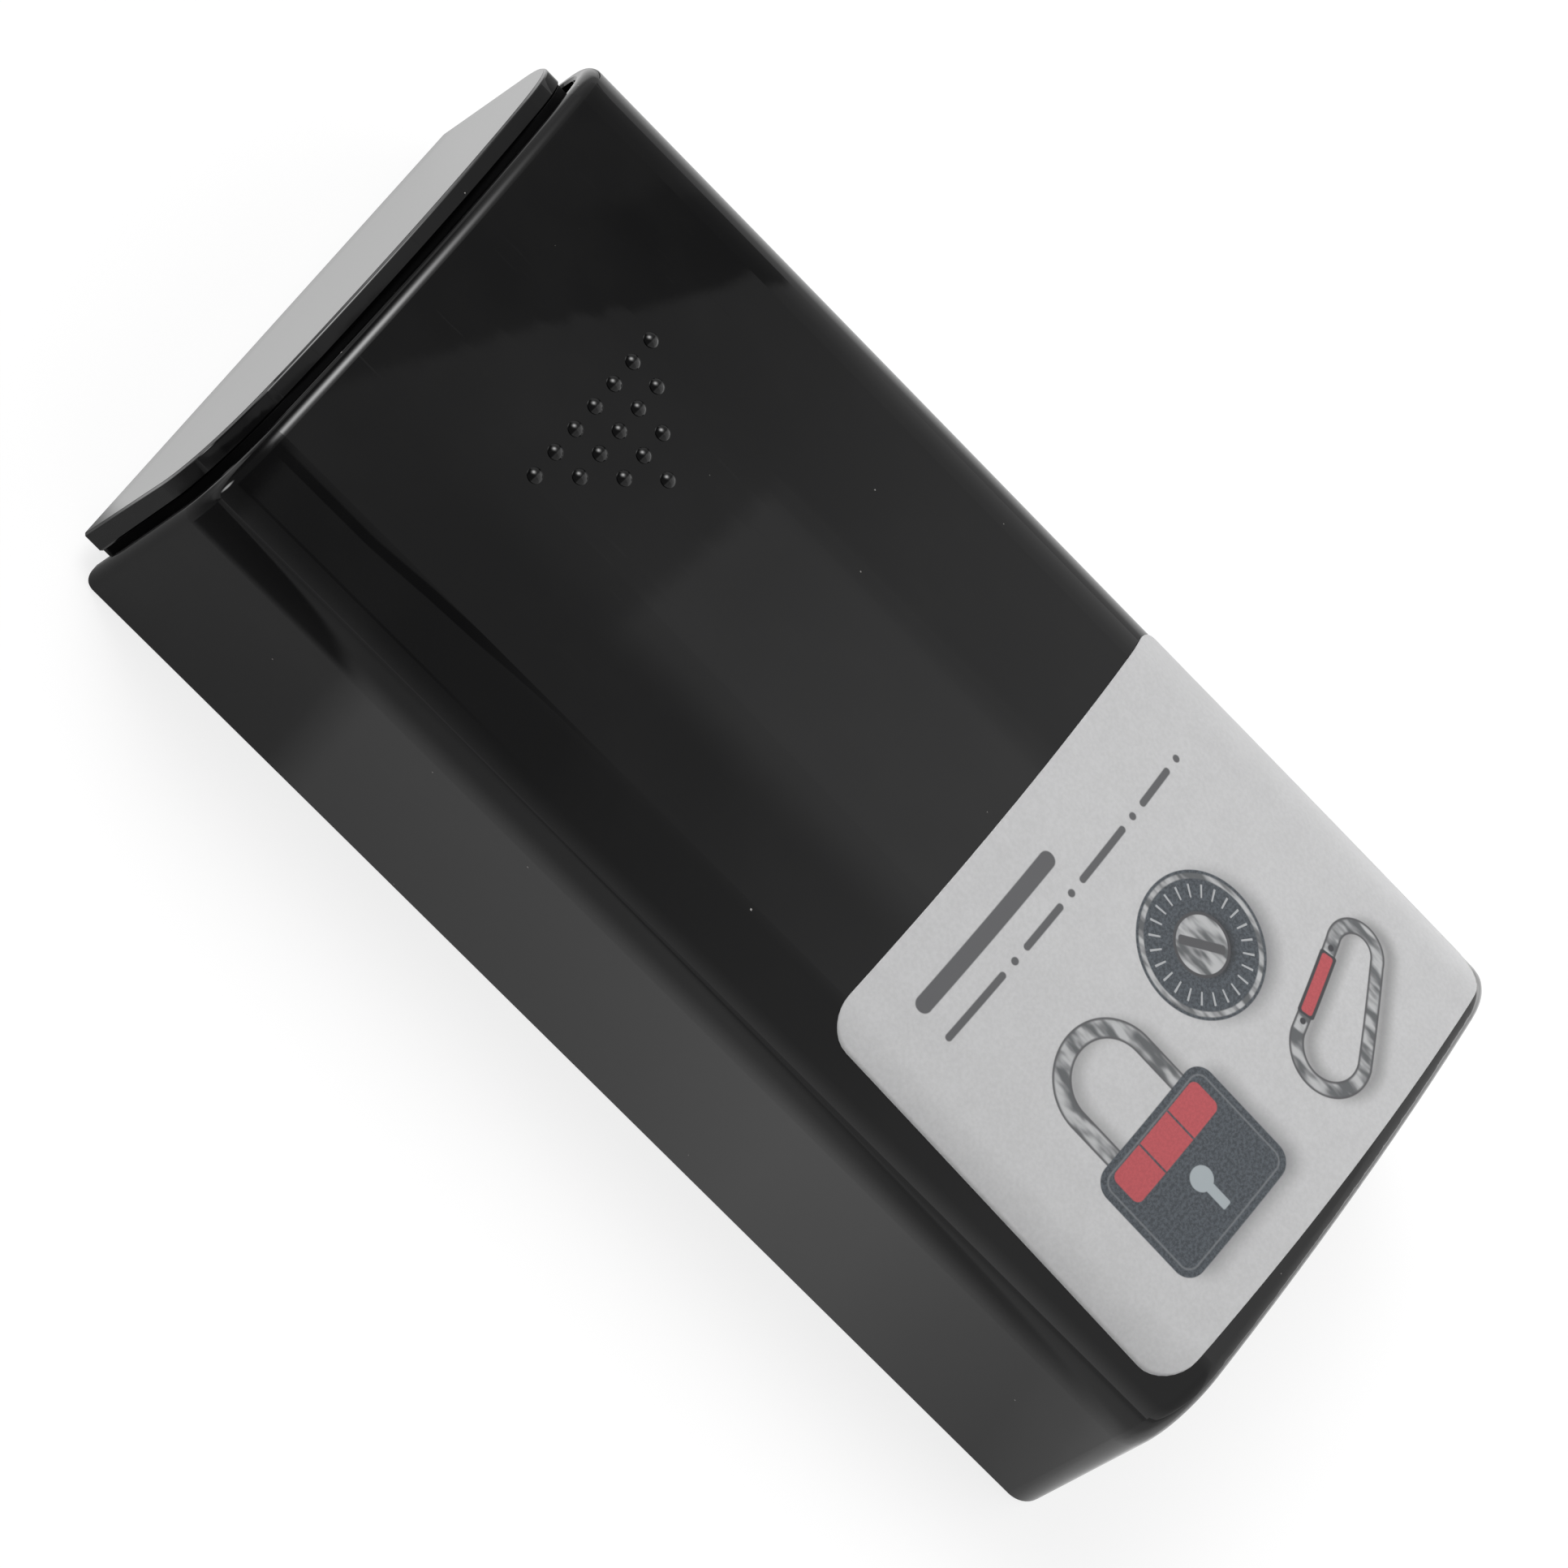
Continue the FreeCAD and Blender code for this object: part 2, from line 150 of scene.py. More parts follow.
class Graph:
    """Short way to write a node tree: every call adds nodes and gives the last one's output."""

    def __init__(self, tree):
        self.tree = tree
        tree.nodes.clear()

    def add(self, kind, *values, out=0, **settings):
        """Adds a node, sets its own options, and feeds its sockets in order or by name."""
        node = self.tree.nodes.new(kind)
        named = settings.pop("sockets", {})
        for key, value in settings.items():
            setattr(node, key, value)
        for i, value in enumerate(values):
            self.feed(node.inputs[i], value)
        for key, value in named.items():
            self.feed(node.inputs[key], value)
        return node.outputs[out] if len(node.outputs) else node

    def feed(self, socket, value):
        """Links an output to a socket, or sets the socket to a plain value."""
        if isinstance(value, bpy.types.NodeSocket):
            self.tree.links.new(value, socket)
        elif socket.type == "RGBA" and len(value) == 3:
            socket.default_value = (*value, 1.0)
        else:
            socket.default_value = value

    def math(self, operation, *values, clamp=False):
        return self.add("ShaderNodeMath", *values, operation=operation, use_clamp=clamp)

    def vector(self, operation, *values):
        out = 1 if operation in ("LENGTH", "DISTANCE", "DOT_PRODUCT") else 0
        return self.add("ShaderNodeVectorMath", *values, operation=operation, out=out)

    def total(self, *values):
        result = values[0]
        for value in values[1:]:
            result = self.math("ADD", result, value)
        return result

    def product(self, *values):
        result = values[0]
        for value in values[1:]:
            result = self.math("MULTIPLY", result, value)
        return result

    def step(self, value, low, high, to_low=0.0, to_high=1.0):
        """Smooth step from to_low at low to to_high at high."""
        return self.add(
            "ShaderNodeMapRange", value, low, high, to_low, to_high,
            interpolation_type="SMOOTHSTEP",
        )

    def between(self, value, low, high, soft):
        """1 between low and high, with edges of that softness."""
        rise = self.step(value, low - soft, low + soft)
        fall = self.step(value, high - soft, high + soft, 1.0, 0.0)
        return self.math("MULTIPLY", rise, fall)

    def curve(self, value, points):
        """Piecewise linear function of value through (value, result) points. A colour ramp
        cuts off below 0, so its stops hold the results above the lowest one."""
        low, high = points[0][0], points[-1][0]
        place = self.add("ShaderNodeMapRange", value, low, high, 0.0, 1.0)
        node = self.tree.nodes.new("ShaderNodeValToRGB")
        elements = node.color_ramp.elements
        base = min(result for _, result in points)
        span = max(result for _, result in points) - base
        for at, _ in points[1:-1]:
            elements.new((at - low) / (high - low))
        for element, (_, result) in zip(elements, points):
            element.color = (*[(result - base) / span] * 3, 1.0)
        self.tree.links.new(place, node.inputs[0])
        return self.math("MULTIPLY_ADD", node.outputs[0], span, base)

    def colour(self, factor, a, b):
        """Colour that goes from a to b as factor goes from 0 to 1."""
        node = self.tree.nodes.new("ShaderNodeMix")
        node.data_type = "RGBA"
        self.feed(node.inputs[0], factor)
        self.feed(node.inputs[6], a)
        self.feed(node.inputs[7], b)
        return node.outputs[2]

    def blend(self, factor, a, b):
        """Number that goes from a to b as factor goes from 0 to 1."""
        node = self.tree.nodes.new("ShaderNodeMix")
        self.feed(node.inputs[0], factor)
        self.feed(node.inputs[2], a)
        self.feed(node.inputs[3], b)
        return node.outputs[0]

    def scaled(self, colour, factor):
        """A colour times a factor that varies over the surface."""
        return self.add(
            "ShaderNodeVectorMath", colour[:], operation="SCALE", sockets={"Scale": factor}
        )

    def noise(self, place, scale, detail=2.0, roughness=0.5):
        return self.add(
            "ShaderNodeTexNoise",
            sockets={"Vector": place, "Scale": scale, "Detail": detail, "Roughness": roughness},
        )

    def object_place(self):
        return self.add("ShaderNodeTexCoord", out=3)

    def split(self, vector):
        node = self.tree.nodes.new("ShaderNodeSeparateXYZ")
        self.tree.links.new(vector, node.inputs[0])
        return node.outputs

    def bump(self, height, distance, strength=1.0, normal=None):
        sockets = {"Strength": strength, "Distance": distance, "Height": height}
        if normal is not None:
            sockets["Normal"] = normal
        return self.add("ShaderNodeBump", sockets=sockets)

    def rounded_box(self, place, middle, half, radius):
        """Signed distance to a box with rounded corners."""
        away = self.vector("ABSOLUTE", self.vector("SUBTRACT", place, (*middle, 0.0)))
        inner = self.vector("SUBTRACT", away, (half[0] - radius, half[1] - radius, 0.0))
        out = self.vector("LENGTH", self.vector("MAXIMUM", inner, (0.0, 0.0, 0.0)))
        return self.math("SUBTRACT", out, radius)

    def disc(self, place, middle, radius):
        """Signed distance to a disc."""
        return self.math("SUBTRACT", self.vector("DISTANCE", place, (*middle, 0.0)), radius)

    def outline(self, distance, thickness):
        """Signed distance to a line of that thickness along a shape's edge."""
        return self.math("SUBTRACT", self.math("ABSOLUTE", distance), thickness / 2)

    def turned(self, place, middle, angle):
        """Place in a frame moved to middle and turned by angle."""
        return self.add(
            "ShaderNodeMapping", self.vector("SUBTRACT", place, (*middle, 0.0)),
            sockets={"Rotation": (0.0, 0.0, -angle)},
        )

    def inside(self, distance, soft):
        """1 inside a shape and 0 outside it."""
        return self.step(distance, -soft, soft, 1.0, 0.0)


def material(name, **base):
    """A node material with a Principled shader whose plain sockets are set directly."""
    made = bpy.data.materials.new(name)
    made.use_nodes = True
    graph = Graph(made.node_tree)
    shader = graph.tree.nodes.new("ShaderNodeBsdfPrincipled")
    output = graph.tree.nodes.new("ShaderNodeOutputMaterial")
    graph.tree.links.new(shader.outputs[0], output.inputs[0])
    for key, value in base.items():
        graph.feed(shader.inputs[key.replace("_", " ")], value)
    return made, graph, shader


def dress(node, finish):
    """Gives a CAD node its finish."""
    for slot in NODES[node].material_slots:
        slot.material = finish


# ---------------------------------------------------------------- sizes and the lid's section

# The plate leans in from its foot, and the neck begins at the plate's back.
PLATE_THICKNESS = 2.2 * MM
PLATE_LEAN = math.radians(0.86)
PLATE_FOOT = 2.2 * MM
PLATE_EDGE_RADIUS = 0.36 * MM
NECK_LENGTH = 7.5 * MM

# The lid's section: a crown that falls from its crest to each side over a long rounded edge.
LID_LOW, LID_HIGH = (np.array(c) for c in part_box("lid_shell"))
LID_HALF = (LID_HIGH[1] - LID_LOW[1]) / 2
CREST = 32.4 * MM
CROWN_FALL = 3.7 * MM
CROWN_RADIUS = (LID_HALF**2 + CROWN_FALL**2) / (2 * CROWN_FALL)
LONG_EDGE_RADIUS = 9.0 * MM

# Steps of the label's mesh.
LABEL_CORNER_STEPS = 8
LABEL_ROWS = 109
LABEL_COLUMNS = 151

# How many features of each pattern go to a metre.
SLOW_WAVES = 22.0
SKIN = 900.0
SMEARS = 60.0
FILM = 75.0
DUST_CELLS = 260.0
ERODED = 4200.0
FERRITE_GRAIN = 1400.0
GRINDING_MARKS = 90.0
FOAM_CELLS = 3000.0
FLAKES = 2600.0
CLOUDS = 330.0
PAPER = 40.0


def section(y):
    """Height, outward direction and length from the crest of the lid's section at y: an arc
    of the crown's radius that runs into an arc of the long edge's radius near each side. The
    arcs meet where both lean out by asin(corner_y / reach), so they share their tangent."""
    centre = CREST - CROWN_RADIUS
    corner_y = LID_HALF - LONG_EDGE_RADIUS
    reach = CROWN_RADIUS - LONG_EDGE_RADIUS
    corner_z = centre + math.sqrt(reach**2 - corner_y**2)
    meet = math.asin(corner_y / reach)
    side, away = np.sign(y), np.abs(y)
    on_crown = np.arcsin(np.clip(away / CROWN_RADIUS, 0, 1))
    on_edge = np.arcsin(np.clip((away - corner_y) / LONG_EDGE_RADIUS, 0, 1))
    crown = on_crown < meet
    angle = np.where(crown, on_crown, on_edge)
    radius = np.where(crown, CROWN_RADIUS, LONG_EDGE_RADIUS)
    z = np.where(crown, centre, corner_z) + radius * np.cos(angle)
    run = np.where(crown, 0.0, (CROWN_RADIUS - LONG_EDGE_RADIUS) * meet) + radius * angle
    return z, (side * np.sin(angle), np.cos(angle)), side * run


def grid_mesh(name, points, flat):
    """Mesh of a grid of points, with a map that holds each point's place on the flat sheet."""
    rows, columns = points.shape[:2]
    index = np.arange(rows * columns).reshape(rows, columns)
    quads = np.stack([index[:-1, :-1], index[1:, :-1], index[1:, 1:], index[:-1, 1:]], -1)
    quads = quads.reshape(-1, 4)
    mesh = bpy.data.meshes.new(name)
    mesh.from_pydata(points.reshape(-1, 3).tolist(), [], quads.tolist())
    layer = mesh.uv_layers.new(name="flat")
    layer.data.foreach_set("uv", flat.reshape(-1, 2)[quads.reshape(-1)].astype(np.float32).ravel())
    mesh.polygons.foreach_set("use_smooth", np.ones(len(quads), dtype=bool))
    mesh.update()
    return mesh


# ---------------------------------------------------------------- plastic


def gloss_plastic(name, settings, seed):
    """Black gloss moulding: slow waviness, faint smears, hairline scratches and dust. The seed
    moves the pattern, so that two parts don't share one. Gives the material with its graph,
    shader, roughness and normal, so that a part can add to it."""
    made, g, shader = material(name, IOR=1.5)
    place = g.vector("ADD", g.object_place(), (seed, seed * 0.7, seed * 0.3))
    smear = g.noise(g.vector("MULTIPLY", place, (1.0, 1.6, 1.0)), SMEARS, 4.0, 0.6)
    drawn = g.vector("MULTIPLY", place, (160.0, 2600.0, 2600.0))
    hairline = g.step(g.noise(drawn, 1.0, 1.0, 0.5), 0.71, 0.76)

    # Dust: a speck of its own size in about two cells of five.
    cell = g.tree.nodes.new("ShaderNodeTexVoronoi")
    g.feed(cell.inputs["Vector"], place)
    g.feed(cell.inputs["Scale"], DUST_CELLS)
    chance, share, _ = g.split(cell.outputs["Color"])
    kept = g.step(chance, 0.60, 0.62)
    size = g.math("MULTIPLY_ADD", share, 0.022, 0.012)
    near = g.math("SUBTRACT", cell.outputs["Distance"], size)
    speck = g.math("MULTIPLY", g.step(near, -0.004, 0.008, 1.0, 0.0), kept)

    film = g.step(g.noise(place, FILM, 4.0, 0.55), 0.42, 0.72, 0.0, 0.006)
    soiled = g.math("MAXIMUM", speck, film)
    g.feed(shader.inputs["Base Color"], g.colour(soiled, settings.plastic, settings.dust))
    rough = g.total(
        settings.gloss,
        g.step(smear, 0.5, 0.85, 0.0, 0.045),
        g.math("MULTIPLY", hairline, 0.05),
        g.math("MULTIPLY", speck, 0.5),
    )
    g.feed(shader.inputs["Roughness"], rough)
    wave = g.bump(g.noise(place, SLOW_WAVES, 1.0, 0.4), settings.waviness)
    normal = g.bump(g.noise(place, SKIN, 2.0, 0.5), 0.0004 * MM, 0.35, wave)
    g.feed(shader.inputs["Normal"], normal)
    return made, g, shader, rough, normal


# ---------------------------------------------------------------- print


class Print:
    """Inks laid over each other on the label's flat map. Places are in millimetres from the
    label's middle: across the box, then along it towards the lid's mouth."""

    def __init__(self, g, settings, film):
        self.g = g
        self.colour = film
        self.flat = g.add("ShaderNodeUVMap", uv_map="flat")
        grain = g.step(g.noise(self.flat, 3.2, 2.0, 0.7), 0.35, 0.65)
        sheen = g.noise(g.vector("MULTIPLY", self.flat, (0.8, 0.25, 1.0)), 1.0, 2.0)
        sheen = g.step(sheen, 0.38, 0.62)
        self.steel = g.colour(sheen, (0.11, 0.115, 0.12), (0.46, 0.465, 0.47))
        self.dark = g.colour(grain, settings.ink, [c * 1.9 for c in settings.ink])
        self.red = g.colour(grain, settings.accent, [c * 1.15 for c in settings.accent])

    def lay(self, distance, ink, soft=0.07, strength=1.0):
        """Covers the inside of a shape with ink."""
        mask = self.g.inside(distance, soft)
        if strength < 1.0:
            mask = self.g.math("MULTIPLY", mask, strength)
        self.colour = self.g.colour(mask, self.colour, ink)

    def steel_bar(self, distance, rim):
        """A steel bar with a dark line along both its edges."""
        self.lay(distance, rim)
        self.lay(self.g.math("ADD", distance, 0.22), self.steel, 0.12)

    def padlock(self, at):
        """Padlock: shackle behind a body with a coloured band in three fields and a keyhole."""
        g = self.g
        own = g.vector("SUBTRACT", self.flat, (*at, 0.0))
        body = g.rounded_box(own, (0.0, 0.0), (7.9, 6.4), 1.9)
        bow_half, bow_radius = (4.8, 7.4), 4.8
        bow = g.outline(g.rounded_box(own, (0.0, 8.4), bow_half, bow_radius), 1.9)
        body_shade = g.rounded_box(own, (1.1, -1.0), (7.6, 6.1), 2.0)
        bow_shade = g.outline(g.rounded_box(own, (0.9, 7.6), bow_half, bow_radius), 1.6)
        self.lay(body_shade, (0.16, 0.16, 0.165), 1.5, 0.75)
        self.lay(bow_shade, (0.22, 0.22, 0.22), 0.9, 0.6)
        self.steel_bar(bow, (0.10, 0.10, 0.105))
        self.lay(body, self.dark)
        self.lay(g.outline(g.math("ADD", body, 0.75), 0.16), (0.20, 0.21, 0.22), 0.1, 0.7)
        band_up, band_tall = 3.7, 1.75
        self.lay(g.rounded_box(own, (0.0, band_up), (6.2, band_tall), 0.75), self.red)
        for gap in (2.1, -2.1):
            self.lay(g.rounded_box(own, (gap, band_up), (0.10, band_tall), 0.05), self.dark, 0.06)
        slot = g.rounded_box(own, (0.0, -2.8), (0.5, 1.5), 0.2)
        keyhole = g.math("MINIMUM", g.disc(own, (0.0, -0.9), 1.2), slot)
        self.lay(keyhole, (0.36, 0.40, 0.42))

    def dial(self, at, marks):
        """Dial with that many marks round it and a steel knob with a slot."""
        g = self.g
        own = g.vector("SUBTRACT", self.flat, (*at, 0.0))
        face = g.disc(own, (0.0, 0.0), 6.9)
        self.lay(g.disc(own, (1.0, -1.0), 6.6), (0.17, 0.17, 0.175), 1.5, 0.75)
        self.lay(face, self.dark)
        self.lay(g.outline(g.math("ADD", face, 0.55), 0.5), self.steel, 0.1)
        across, up, _ = g.split(own)
        turn = g.math("MULTIPLY", g.math("ARCTAN2", up, across), marks / (2 * PI))
        near = g.math("ABSOLUTE", g.math("SUBTRACT", g.math("FRACT", turn), 0.5))
        ring = g.between(g.vector("LENGTH", own), 4.35, 5.6, 0.07)
        mark = g.product(g.step(near, 0.06, 0.09, 1.0, 0.0), ring)
        self.colour = g.colour(mark, self.colour, (0.40, 0.41, 0.42))
        knob_radius = 2.9
        knob = g.disc(own, (0.0, 0.0), knob_radius)
        self.lay(g.disc(own, (0.4, -0.4), knob_radius), (0.02, 0.02, 0.022), 0.5, 0.8)
        self.lay(knob, self.steel)
        self.lay(g.outline(knob, 0.3), (0.07, 0.07, 0.075), 0.06)
        spun = g.turned(own, (0.0, 0.0), 0.6)
        self.lay(g.rounded_box(spun, (0.0, 0.0), (0.45, 2.5), 0.3), (0.09, 0.09, 0.095))

    def snap_hook(self, at, lean):
        """Snap hook: a bent steel bar with a coloured gate between two pins."""
        g = self.g
        own = g.turned(self.flat, at, lean)
        shade = g.turned(self.flat, (at[0] + 0.9, at[1] - 1.0), lean)
        self.lay(self.bent_bar(shade), (0.20, 0.20, 0.20), 0.9, 0.7)
        self.steel_bar(self.bent_bar(own), (0.09, 0.09, 0.095))
        black = (0.05, 0.05, 0.055)
        gate = g.turned(own, (0.6, 3.05), -0.12)
        self.lay(g.rounded_box(gate, (0.0, 0.0), (3.5, 0.95), 0.3), black)
        self.lay(g.rounded_box(gate, (0.0, 0.0), (3.25, 0.62), 0.3), self.red)
        for pin in (-4.1, 4.1):
            self.lay(g.disc(gate, (pin, 0.0), 0.32), black)

    def bent_bar(self, place):
        """Signed distance to a loop of bar that is wider at one end than at the other: the
        nearest point of the loop's long axis is found first, then the loop's reach there."""
        g = self.g
        held = g.math("MINIMUM", g.math("MAXIMUM", g.split(place)[0], -4.6), 5.6)
        nearest = g.add("ShaderNodeCombineXYZ", held, 0.0, 0.0)
        reach = g.math("MULTIPLY_ADD", held, -0.12, 3.2)
        return g.outline(g.math("SUBTRACT", g.vector("DISTANCE", place, nearest), reach), 1.6)

    def rules(self, left, high, low):
        """A broad rule at one height, and a thin one below it that dots break up."""
        g = self.g
        grey, soft = (0.105, 0.105, 0.110), 0.08
        broad = 10.0
        self.lay(g.rounded_box(self.flat, (left + broad, high), (broad, 0.85), 0.8), grey, soft)
        gap = 1.5
        start = left
        for half in (4.2, 2.9, 3.7, 2.6):
            thin = g.rounded_box(self.flat, (start + half, low), (half, 0.36), 0.35)
            self.lay(thin, grey, soft)
            start += 2 * half + gap
            self.lay(g.disc(self.flat, (start, low), 0.38), grey, soft)
            start += gap


# ---------------------------------------------------------------- operators


class KEYBOX_OT_lid(Operator):
    """Finish the lid in black gloss plastic"""

    bl_idname = "keybox.lid"
    bl_label = "Lid"

    def execute(self, context):
        made, *_ = gloss_plastic("lid_gloss", context.scene.keybox_lid, seed=0.0)
        dress("lid_shell", made)
        return {"FINISHED"}


class KEYBOX_OT_tray(Operator):
    """Finish the end plate in gloss, the neck rough with painted shade and the tray in satin black
    plastic
    """

    bl_idname = "keybox.tray"
    bl_label = "Tray"

    def execute(self, context):
        settings = context.scene.keybox_lid
        made, g, shader, rough, normal = gloss_plastic("tray_gloss", settings, seed=0.37)
        x, _, z = g.split(g.object_place())
        face_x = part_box("base_tray")[0][0]
        back_x = face_x + PLATE_THICKNESS
        soft = 0.05 * MM
        eroded = g.noise(g.object_place(), ERODED, 2.0, 0.6)
        satin = g.step(eroded, 0.3, 0.7, 0.26, 0.34)
        past_plate = g.step(x, back_x - soft, back_x + soft)
        neck = g.between(x, back_x, back_x + NECK_LENGTH, soft)
        above_floor = g.step(z, PLATE_FOOT + 0.2 * MM, PLATE_FOOT + 0.8 * MM)
        rough_and_shaded_neck = g.product(neck, above_floor)
        rough = g.blend(rough_and_shaded_neck, g.blend(past_plate, rough, satin), 0.65)
        g.feed(shader.inputs["Roughness"], rough)
        # The neck is rough, and its reflection is nearly cut out: painted shade of the deep gap
        # under the lid's rim.
        g.feed(shader.inputs["Specular IOR Level"], g.blend(rough_and_shaded_neck, 0.5, 0.04))
        softened = self.softened(g, x, z, face_x, normal)
        grain = g.bump(eroded, 0.006 * MM, g.product(past_plate, 0.5), softened)
        g.feed(shader.inputs["Normal"], grain)
        dress("base_tray", made)
        return {"FINISHED"}

    def softened(self, g, x, z, face_x, normal):
        """Softens the plate's front edge: nearer than the radius r to the leaning face, the
        side falls away by r (1 - sqrt(1 - p^2)), where p goes from 0 to nearly 1."""
        slope = math.tan(PLATE_LEAN)
        face = g.math("MULTIPLY_ADD", z, slope, face_x - PLATE_FOOT * slope)
        behind = g.math("DIVIDE", g.math("SUBTRACT", x, face), PLATE_EDGE_RADIUS)
        past = g.math("MINIMUM", g.math("SUBTRACT", 1.0, behind, clamp=True), 0.92)
        level = g.math("SQRT", g.math("SUBTRACT", 1.0, g.math("POWER", past, 2.0)))
        return g.bump(level, PLATE_EDGE_RADIUS, 1.0, normal)


class KEYBOX_OT_magnets(Operator):
    """Finish the magnets in ground ferrite and their pads in foam"""

    bl_idname = "keybox.magnets"
    bl_label = "Magnets and pads"

    def execute(self, context):
        ferrite, foam = self.ferrite(), self.foam()
        for number in (1, 2):
            dress(f"magnet_{number}", ferrite)
            dress(f"magnet_pad_{number}", foam)
        return {"FINISHED"}

    def ferrite(self):
        """Dark sintered ferrite with the marks of grinding along the box."""
        made, g, shader = material("ground_ferrite", IOR=1.9)
        place = g.object_place()
        grain = g.noise(place, FERRITE_GRAIN, 3.0, 0.6)
        drawn = g.vector("MULTIPLY", place, (1.0, 30.0, 30.0))
        ground = g.noise(drawn, GRINDING_MARKS, 3.0, 0.6)
        colour = g.colour(grain, (0.030, 0.030, 0.033), (0.062, 0.062, 0.066))
        g.feed(shader.inputs["Base Color"], colour)
        g.feed(shader.inputs["Roughness"], g.step(ground, 0.3, 0.7, 0.38, 0.62))
        g.feed(shader.inputs["Normal"], g.bump(ground, 0.02 * MM, 0.5))
        return made

    def foam(self):
        """White foam tape with fine cells."""
        made, g, shader = material("white_foam", IOR=1.4)
        sockets = {"Vector": g.object_place(), "Scale": FOAM_CELLS}
        cells = g.add("ShaderNodeTexVoronoi", sockets=sockets)
        colour = g.colour(cells, (0.70, 0.70, 0.66), (0.82, 0.82, 0.79))
        g.feed(shader.inputs["Base Color"], colour)
        g.feed(shader.inputs["Roughness"], g.step(cells, 0.0, 0.7, 0.75, 0.95))
        g.feed(shader.inputs["Normal"], g.bump(cells, 0.05 * MM, 0.6))
        return made


class KEYBOX_OT_label(Operator):
    """Make the label sheet with its print"""

    bl_idname = "keybox.label"
    bl_label = "Label"

    def execute(self, context):
        s = context.scene.keybox_label
        sheet = self.sheet(s)
        sheet.data.materials.append(self.printed(s))
        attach(sheet, "lid")
        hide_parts("cover_label")
        return {"FINISHED"}

    def sheet(self, s):
        """Sheet over the crown. Its rows lie at places a along its length, and the half width
        at each row is w - c + sqrt(c^2 - p^2), where w is half the width, c the corner's
        radius and p how far the row is past the start of the corners. A row's points are b
        from -1 to 1 times that. Places (a, b) are turned in plan about the sheet's middle,
        then lifted to the lid's section. The flat map is the place along the box and the
        length of the section up to it, turned back by the same angle, so the print isn't
        stretched where the sheet bends down."""
        low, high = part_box("cover_label")
        middle = np.array([(low[0] + high[0]) / 2, (low[1] + high[1]) / 2])
        half_l, half_w, corner = s.length / 2, s.width / 2, s.corner
        quarter = np.linspace(0, PI / 2, LABEL_CORNER_STEPS + 1)[:-1]
        ends = half_l - corner + corner * np.cos(quarter)
        inner = np.linspace(half_l - corner, corner - half_l, LABEL_ROWS)
        along = np.concatenate([ends, inner, -ends[::-1]])[::-1]
        past = np.clip(np.abs(along) - (half_l - corner), 0, corner)
        reach = half_w - corner + np.sqrt(corner**2 - past**2)
        a, b = np.meshgrid(along, np.linspace(-1, 1, LABEL_COLUMNS), indexing="ij")
        b = b * reach[:, None]
        cosine, sine = math.cos(s.turn), math.sin(s.turn)
        x = middle[0] + a * cosine - b * sine
        y = middle[1] + a * sine + b * cosine
        z, lift, run = section(y)
        top = np.stack([x, y + lift[0] * s.thickness, z + lift[1] * s.thickness], -1)
        start = section(np.array([middle[1]]))[2][0]
        flat_x, flat_y = (x - middle[0]) / MM, (run - start) / MM
        flat = np.stack([
            flat_y * cosine - flat_x * sine, -(flat_x * cosine + flat_y * sine)
        ], -1)
        mesh = grid_mesh("cover_label_sheet", top, flat)
        sheet = bpy.data.objects.new("cover_label_sheet", mesh)
        bpy.context.scene.collection.objects.link(sheet)
        wall = sheet.modifiers.new("wall", "SOLIDIFY")
        wall.thickness = s.thickness * 0.9
        wall.offset = -1.0
        return sheet

    def printed(self, s):
        """Satin silver-grey film with a generic print: padlock, dial, snap hook and rules."""
        made, g, shader = material("label_sheet_print", IOR=1.45)
        place = g.object_place()
        flake = g.noise(place, FLAKES, 2.0, 0.6)
        cloud = g.noise(place, CLOUDS, 2.0, 0.5)
        tone = g.total(
            g.step(flake, 0.25, 0.75, 0.955, 1.045),
            g.step(cloud, 0.3, 0.7, -0.015, 0.015),
        )
        inks = Print(g, s, g.scaled(s.sheet, tone))
        inks.padlock(at=(-11.8, -11.2))
        inks.dial(at=(4.6, 1.2), marks=24)
        inks.snap_hook(at=(11.4, -12.6), lean=0.35)
        inks.rules(left=-20.4, high=17.0, low=13.4)
        g.feed(shader.inputs["Base Color"], inks.colour)
        g.feed(shader.inputs["Roughness"], g.step(flake, 0.3, 0.7, 0.40, 0.48))
        g.feed(shader.inputs["Normal"], g.bump(cloud, 0.07 * MM, 0.6))
        return made


# ---------------------------------------------------------------- studio

WHITE = (1.0, 1.0, 1.0, 1.0)
FLOOR_DROP = 0.02 * MM
FLOOR_RADII = (0.1, 0.2, 0.35, 0.6, 1.2, 3.0)
FLOOR_SIDES = 96

# Widths of the lamps in radians, and the way to the spark.
KEY_WIDTH = 0.27
SPARK_CORE, SPARK_EDGE = 0.05, 0.20
SPARK_STRENGTH = 7.0
SPARK_WAY = (-0.462, -0.870, 0.172)

CAMERA_AT = (-0.1188631, -0.3162855, 0.5383889)
CAMERA_RIGHT = (0.692536, 0.539990, 0.478335)
CAMERA_UP = (-0.696310, 0.673677, 0.247612)
CAMERA_BACK = (-0.188535, -0.504550, 0.842546)


